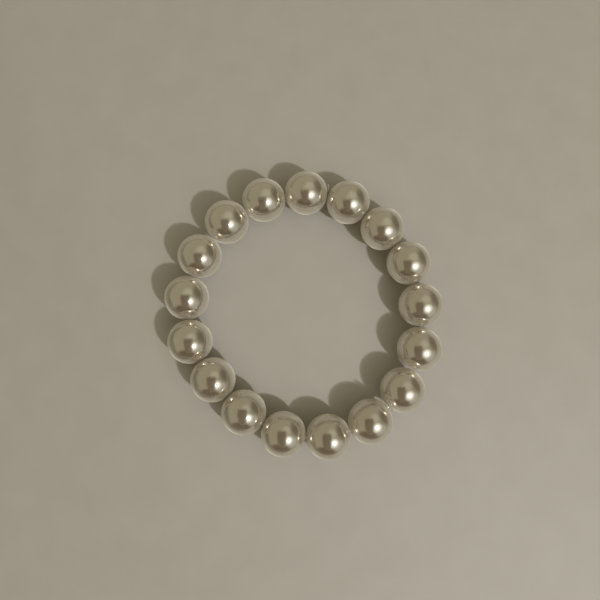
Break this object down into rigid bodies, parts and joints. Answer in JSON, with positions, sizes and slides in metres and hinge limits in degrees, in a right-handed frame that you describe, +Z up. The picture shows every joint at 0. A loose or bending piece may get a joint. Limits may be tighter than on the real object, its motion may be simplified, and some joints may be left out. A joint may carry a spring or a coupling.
{
  "type": "pearl bead stretch bracelet",
  "caption": "Ring of large glossy ivory imitation pearls on one clear elastic cord, knotted between two beads, lying flat; stretches over the hand.",
  "frame": {"origin": "on the surface that the bracelet lies on, under the middle of its outline seen from above", "axes": "+Z up, square to the ring's plane; +Y towards bead_01, close to the ring's longer way; bead numbers rise clockwise seen from above"},
  "size_m": [0.0766, 0.0794, 0.012],
  "materials": {
    "pearl": "pearlescent ivory lacquer under a clear high-gloss coat",
    "clear_elastic": "clear smooth stretch cord"
  },
  "bodies": {
    "root": {"bead_01": "pearl", "bead_02": "pearl", "bead_03": "pearl", "bead_04": "pearl", "bead_05": "pearl", "bead_06": "pearl", "bead_07": "pearl", "bead_08": "pearl", "bead_09": "pearl", "bead_10": "pearl", "bead_11": "pearl", "bead_12": "pearl", "bead_13": "pearl", "bead_14": "pearl", "bead_15": "pearl", "bead_16": "pearl", "bead_17": "pearl", "elastic_cord": "clear_elastic"}
  },
  "joints": []
}
